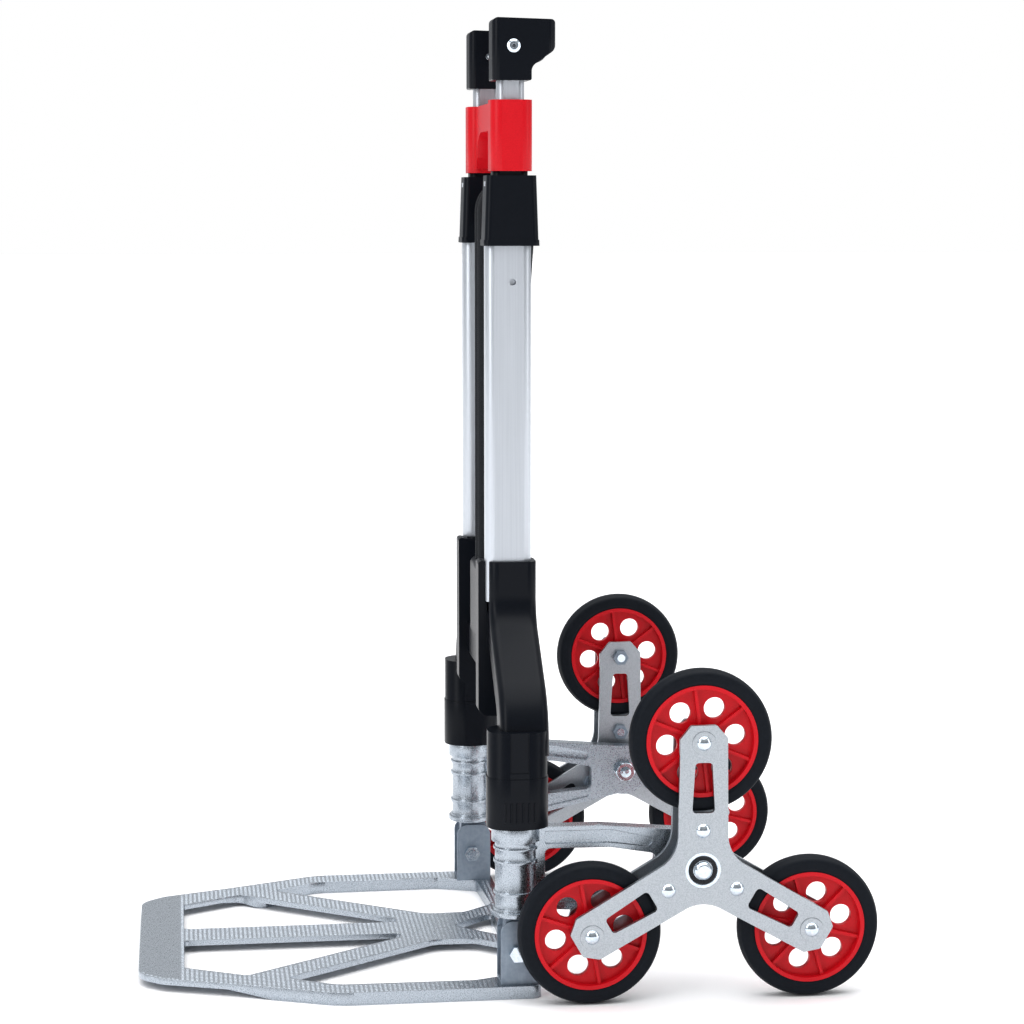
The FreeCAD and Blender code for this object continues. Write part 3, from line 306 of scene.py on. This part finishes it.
def make_materials():
    """One material for each slot that the record names."""
    return {
        "tube_aluminium": tube_aluminium(),
        "cast_aluminium": cast_aluminium("cast_aluminium", (0.33, 0.37, 0.41), (0.50, 0.54, 0.59),
                                         grain=1100, sheen=0.28),
        "star_aluminium": cast_aluminium("star_aluminium", (0.38, 0.41, 0.44), (0.51, 0.54, 0.57),
                                         grain=1300, sheen=0.36),
        "zinc_steel": zinc_steel(),
        "bright_steel": bright_steel(),
        "black_plastic": black_plastic(),
        "grey_nylon": grey_nylon(),
        "red_plastic": red_plastic(),
        "tyre_rubber": tyre_rubber(),
        "grip_rubber": grip_rubber(),
        "black_elastic": black_elastic(),
    }


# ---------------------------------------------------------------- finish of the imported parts
EDGE_ROUNDING = {
    "tube_aluminium": 0.3 * MM,
    "cast_aluminium": 0.7 * MM,
    "star_aluminium": 0.4 * MM,
    "zinc_steel": 0.3 * MM,
    "bright_steel": 0.2 * MM,
    "black_plastic": 0.8 * MM,
    "red_plastic": 0.7 * MM,
    "tyre_rubber": 0.6 * MM,
}
SHARP = math.radians(32)            # edges sharper than this are rounded
NEARLY_FLAT = math.radians(0.5)     # facets within this angle become one face first
WELD_DISTANCE = 0.005 * MM


def finish_part(node, slot, materials):
    """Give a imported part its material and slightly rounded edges."""
    part = NODES[node]
    part.data.materials.clear()
    part.data.materials.append(materials[slot])
    if slot not in EDGE_ROUNDING:
        return
    weld = part.modifiers.new("weld", "WELD")
    weld.merge_threshold = WELD_DISTANCE
    flat = part.modifiers.new("flat", "DECIMATE")
    flat.decimate_type = "DISSOLVE"
    flat.angle_limit = NEARLY_FLAT
    bevel = part.modifiers.new("edges", "BEVEL")
    bevel.width = EDGE_ROUNDING[slot]
    bevel.segments = 2
    bevel.limit_method = "ANGLE"
    bevel.angle_limit = SHARP
    bevel.use_clamp_overlap = True


# ---------------------------------------------------------------- new pieces
def mesh_piece(name, vertices, faces, material):
    """Put a new mesh into the scene."""
    mesh = bpy.data.meshes.new(name)
    mesh.from_pydata(vertices, [], faces)
    mesh.materials.append(material)
    piece = bpy.data.objects.new(name, mesh)
    bpy.context.scene.collection.objects.link(piece)
    return piece


def surface_tree(node):
    """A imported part's surface, ready for ray casts."""
    mesh = NODES[node].data
    corners = [vertex.co for vertex in mesh.vertices]
    faces = [tuple(polygon.vertices) for polygon in mesh.polygons]
    return BVHTree.FromPolygons(corners, faces)


# ---------------------------------------------------------------- moulded ribs of the knuckles
RIB_WIDTH = 2.0 * MM
RIB_PITCH = 5.0 * MM
RIB_PROUD = 0.7 * MM                # out of the knuckle's skin
RIB_SUNK = 0.3 * MM                 # into it
RIB_SLOPE = 0.5 * MM                # how far each side leans in from root to crest
RIB_COUNT = 6
RIB_FOOT = 6 * MM                   # bottom of the ribs above the knuckle's foot
RIB_LENGTH = 17 * MM
RAY_START = 60 * MM                 # from the knuckle's middle, outside its skin


def knuckle_ribs(side, plastic):
    """Short upright ribs on the outer face of a knuckle, near its foot."""
    tree = surface_tree("knuckle_" + side)
    low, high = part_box("knuckle_" + side)
    middle = (low + high) / 2
    outward = 1 if side == "right" else -1
    bottom = low.z + RIB_FOOT
    top = bottom + RIB_LENGTH
    vertices, faces = [], []

    def skin(y, z):
        start = Vector((middle.x + outward * RAY_START, y, z))
        return tree.ray_cast(start, Vector((-outward, 0, 0)))[0].x

    for index in range(RIB_COUNT):
        y = middle.y + (index - (RIB_COUNT - 1) / 2) * RIB_PITCH
        edges = (y - RIB_WIDTH / 2, y + RIB_WIDTH / 2)
        skins = [skin(edge, (bottom + top) / 2) for edge in edges]
        first = len(vertices)
        for proud, slope in ((-RIB_SUNK, 0), (RIB_PROUD, RIB_SLOPE)):
            for edge, sign, x in zip(edges, (1, -1), skins):
                vertices.append((x + outward * proud, edge + sign * slope, bottom + slope))
                vertices.append((x + outward * proud, edge + sign * slope, top - slope))
        faces += [(first + 4, first + 6, first + 7, first + 5), (first, first + 4, first + 5, first + 1),
                  (first + 2, first + 3, first + 7, first + 6), (first, first + 2, first + 6, first + 4),
                  (first + 1, first + 5, first + 7, first + 3)]
    piece = mesh_piece("knuckle_ribs_" + side, vertices, faces, plastic)
    normals = bmesh.new()
    normals.from_mesh(piece.data)
    bmesh.ops.recalc_face_normals(normals, faces=normals.faces)
    normals.to_mesh(piece.data)
    normals.free()
    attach(piece, "frame")


# ---------------------------------------------------------------- bearing seals
SEAL_INNER = 8.3 * MM
SEAL_OUTER = 12.1 * MM
SEAL_THICKNESS = 0.4 * MM
SEAL_CHAMFER = 0.3 * MM
SEAL_GROOVE = 0.7 * MM              # depth of the groove between the races
SEAL_STEPS = 64


def bearing_seals(side, rubber):
    """A dark ring in the groove of each of a star's two bearings, just below the races' faces."""
    low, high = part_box("star_bearings_" + side)
    y, z = (low.y + high.y) / 2, (low.z + high.z) / 2
    vertices, faces = [], []
    for face_x, inward in ((low.x, 1), (high.x, -1)):
        floor_x = face_x + inward * SEAL_GROOVE
        top_x = floor_x - inward * SEAL_THICKNESS
        first = len(vertices)
        for step in range(SEAL_STEPS):
            angle = 2 * math.pi * step / SEAL_STEPS
            for x, radius in ((floor_x, SEAL_INNER), (top_x, SEAL_INNER + SEAL_CHAMFER),
                              (top_x, SEAL_OUTER - SEAL_CHAMFER), (floor_x, SEAL_OUTER)):
                vertices.append((x, y + radius * math.cos(angle), z + radius * math.sin(angle)))
        for step in range(SEAL_STEPS):
            here = first + 4 * step
            there = first + 4 * ((step + 1) % SEAL_STEPS)
            for k in range(3):
                ring = (here + k, here + k + 1, there + k + 1, there + k)
                faces.append(ring if inward > 0 else ring[::-1])
    piece = mesh_piece("bearing_seals_" + side, vertices, faces, rubber)
    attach(piece, "star_" + side)


# ---------------------------------------------------------------- raised pattern of the toe plate
STUD_PITCH = 4.0 * MM
STUD_FOOT = 1.3 * MM                # half width at the plate
STUD_HEAD = 0.9 * MM                # half width at the top
STUD_HEIGHT = 0.25 * MM             # the ribs of the lip are as high
STUD_MARGIN = 0.3 * MM              # bare metal kept round each stud
STUD_START = 1.0 * MM               # first row of studs behind the last rib's place
LIP_ROWS = 9
LIP_PITCH = 3.6 * MM
LIP_MARGIN = 4.0 * MM               # first rib behind the front edge
LIP_HALF_WIDTH = 1.1 * MM
LIP_SLOPE = 0.4 * MM                # how far a rib's sides lean in
LIP_CLEARANCE = 1.2 * MM            # half width of solid metal that a rib needs
SCAN_STEP = 1.0 * MM
SCAN_HEIGHT = 10 * MM               # rays start this far above the plate
TOP_TOLERANCE = 0.2 * MM


class PlateTop:
    """Answers whether a point of the toe plate's top face is solid and free of the brackets."""

    def __init__(self):
        self.tree = surface_tree("toe_plate")
        self.low, self.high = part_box("toe_plate")
        self.brackets = [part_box("toe_bracket_right"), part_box("toe_bracket_left")]

    def solid(self, x, y):
        hit = self.tree.ray_cast(Vector((x, y, self.high.z + SCAN_HEIGHT)), Vector((0, 0, -1)))[0]
        if hit is None or abs(hit.z - self.high.z) > TOP_TOLERANCE:
            return False
        for low, high in self.brackets:
            if low.x < x < high.x and low.y < y < high.y:
                return False
        return True

    def solid_square(self, x, y, half):
        return all(self.solid(x + i * half, y + j * half) for i in (-1, 1) for j in (-1, 1))


def frustum(vertices, faces, x0, x1, y0, y1, z, inset, height):
    """Add a low block with sloping sides, open underneath."""
    first = len(vertices)
    vertices += [(x0, y0, z), (x1, y0, z), (x1, y1, z), (x0, y1, z)]
    vertices += [(x0 + inset, y0 + inset, z + height), (x1 - inset, y0 + inset, z + height),
                 (x1 - inset, y1 - inset, z + height), (x0 + inset, y1 - inset, z + height)]
    for i in range(4):
        j = (i + 1) % 4
        faces.append((first + i, first + j, first + 4 + j, first + 4 + i))
    faces.append((first + 4, first + 5, first + 6, first + 7))


def plate_piece(name, vertices, faces, metal):
    """Put a raised pattern on the toe plate."""
    piece = mesh_piece(name, vertices, faces, metal)
    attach(piece, "toe_plate")


def lip_ribs(top, metal):
    """Fine straight ribs along the front lip."""
    vertices, faces = [], []
    z = top.high.z
    for row in range(LIP_ROWS):
        y = top.low.y + LIP_MARGIN + row * LIP_PITCH
        steps = int((top.high.x - top.low.x) / SCAN_STEP)
        solid = [top.low.x + i * SCAN_STEP for i in range(steps)
                 if top.solid_square(top.low.x + i * SCAN_STEP, y, LIP_CLEARANCE)]
        if solid:
            frustum(vertices, faces, solid[0], solid[-1], y - LIP_HALF_WIDTH, y + LIP_HALF_WIDTH, z,
                    LIP_SLOPE, STUD_HEIGHT)
    plate_piece("lip_ribs", vertices, faces, metal)


def plate_studs(top, metal):
    """Rows of small raised squares on the rest of the plate."""
    vertices, faces = [], []
    z = top.high.z
    first_row = top.low.y + LIP_MARGIN + LIP_ROWS * LIP_PITCH + STUD_START
    rows = int((top.high.y - first_row) / STUD_PITCH)
    columns = int((top.high.x - top.low.x) / STUD_PITCH)
    for row in range(rows):
        y = first_row + row * STUD_PITCH
        for column in range(columns):
            x = top.low.x + (column + 0.5) * STUD_PITCH
            if top.solid_square(x, y, STUD_FOOT + STUD_MARGIN):
                frustum(vertices, faces, x - STUD_FOOT, x + STUD_FOOT, y - STUD_FOOT, y + STUD_FOOT,
                        z, STUD_FOOT - STUD_HEAD, STUD_HEIGHT)
    plate_piece("plate_studs", vertices, faces, metal)


# ---------------------------------------------------------------- studio
FLOOR_REACH = 30.0
OVERHEAD_STRENGTH = 2.6
OVERHEAD_SPREAD = math.radians(80)
AIM = (0, 0, 0.35)                  # what the soft boxes point at
WORLD_STRENGTH = 0.7
ROOM_LOW = (0.34, 0.36, 0.39, 1)    # light from the floor up to a little below the horizon
ROOM_LOW_TO = 0.40                  # heights in the room: 0 straight down, 1 straight up
ROOM_HIGH = (1.0, 1.0, 1.0, 1)
ROOM_HIGH_FROM = 0.85
LEFT_SIDE = (-0.7, 1.45)            # direction along X and brightness of the room there
RIGHT_SIDE = (0.3, 0.85)


def add_floor():
    """Pale floor, large enough to reach past the picture on every side."""
    size = FLOOR_REACH
    outline = [(-size, -size, 0), (size, -size, 0), (size, size, 0), (-size, size, 0)]
    material = new_material("floor", (0.95, 0.95, 0.96), 0.0, 0.85)
    vary_color(material, noise(material, 3, 2), (0.94, 0.94, 0.95), (0.96, 0.96, 0.97))
    floor = mesh_piece("floor", outline, [(0, 1, 2, 3)], material)


def add_light(name, place, target, size, power):
    """Rectangular soft box aimed at a point."""
    data = bpy.data.lights.new(name, "AREA")
    data.shape = "RECTANGLE"
    data.size, data.size_y = size
    data.energy = power
    light = bpy.data.objects.new(name, data)
    light.location = place
    aim = Vector(target) - Vector(place)
    light.rotation_euler = aim.to_track_quat("-Z", "Y").to_euler()
    bpy.context.scene.collection.objects.link(light)


def add_overhead(strength):
    """Broad light from straight above, so that the floor is evenly white as far as it reaches."""
    data = bpy.data.lights.new("overhead", "SUN")
    data.energy = strength
    data.angle = OVERHEAD_SPREAD
    light = bpy.data.objects.new("overhead", data)
    light.location = (0, 0, 4)
    bpy.context.scene.collection.objects.link(light)


def add_world():
    """White to look at; for lighting, a room bright overhead and brighter at the truck's left side."""
    world = bpy.data.worlds.new("studio")
    world.use_nodes = True
    nodes, links = world.node_tree.nodes, world.node_tree.links
    place = nodes.new("ShaderNodeTexCoord")
    axes = nodes.new("ShaderNodeSeparateXYZ")
    links.new(place.outputs["Generated"], axes.inputs["Vector"])
    height = nodes.new("ShaderNodeMapRange")
    height.inputs["From Min"].default_value = -1
    height.inputs["From Max"].default_value = 1
    links.new(axes.outputs["Z"], height.inputs["Value"])
    room = nodes.new("ShaderNodeValToRGB")
    room.color_ramp.elements[0].position = ROOM_LOW_TO
    room.color_ramp.elements[0].color = ROOM_LOW
    room.color_ramp.elements[1].position = ROOM_HIGH_FROM
    room.color_ramp.elements[1].color = ROOM_HIGH
    links.new(height.outputs["Result"], room.inputs["Fac"])
    sides = nodes.new("ShaderNodeMapRange")
    sides.inputs["From Min"].default_value, sides.inputs["To Min"].default_value = LEFT_SIDE
    sides.inputs["From Max"].default_value, sides.inputs["To Max"].default_value = RIGHT_SIDE
    links.new(axes.outputs["X"], sides.inputs["Value"])
    shade = nodes.new("ShaderNodeMix")
    shade.data_type = "RGBA"
    shade.blend_type = "MULTIPLY"
    shade.inputs["Factor"].default_value = 1.0
    links.new(room.outputs["Color"], shade.inputs["A"])
    links.new(sides.outputs["Result"], shade.inputs["B"])
    lighting = nodes["Background"]
    links.new(shade.outputs["Result"], lighting.inputs["Color"])
    lighting.inputs["Strength"].default_value = WORLD_STRENGTH
    seen = nodes.new("ShaderNodeBackground")
    seen.inputs["Color"].default_value = (1, 1, 1, 1)
    seen.inputs["Strength"].default_value = 1.0
    rays = nodes.new("ShaderNodeLightPath")
    mix = nodes.new("ShaderNodeMixShader")
    links.new(rays.outputs["Is Camera Ray"], mix.inputs["Fac"])
    links.new(lighting.outputs["Background"], mix.inputs[1])
    links.new(seen.outputs["Background"], mix.inputs[2])
    links.new(mix.outputs["Shader"], nodes["World Output"].inputs["Surface"])
    bpy.context.scene.world = world


def add_studio():
    """Broad light overhead and soft boxes ahead and behind, in a white room."""
    add_world()
    bpy.context.scene.view_settings.view_transform = "Standard"
    bpy.context.scene.view_settings.gamma = 0.85
    add_overhead(OVERHEAD_STRENGTH)
    add_light("front", (1.6, -2.2, 1.5), AIM, size=(1.0, 2.0), power=22)
    add_light("rear", (1.2, 2.4, 1.1), AIM, size=(0.8, 2.0), power=9)


# ---------------------------------------------------------------- building the picture
materials = make_materials()
add_camera()
for side in ("right", "left"):
    elastic_cord(side, materials["black_elastic"])
for subpart in frame["record"]["subparts"]:
    finish_part(subpart["node"], subpart["material_slot"], materials)
seal_rubber = bearing_seal()
for side in ("right", "left"):
    bearing_seals(side, seal_rubber)
    knuckle_ribs(side, materials["black_plastic"])
plate_top = PlateTop()
lip_ribs(plate_top, materials["cast_aluminium"])
plate_studs(plate_top, materials["cast_aluminium"])
add_floor()
add_studio()

bpy.context.view_layer.update()
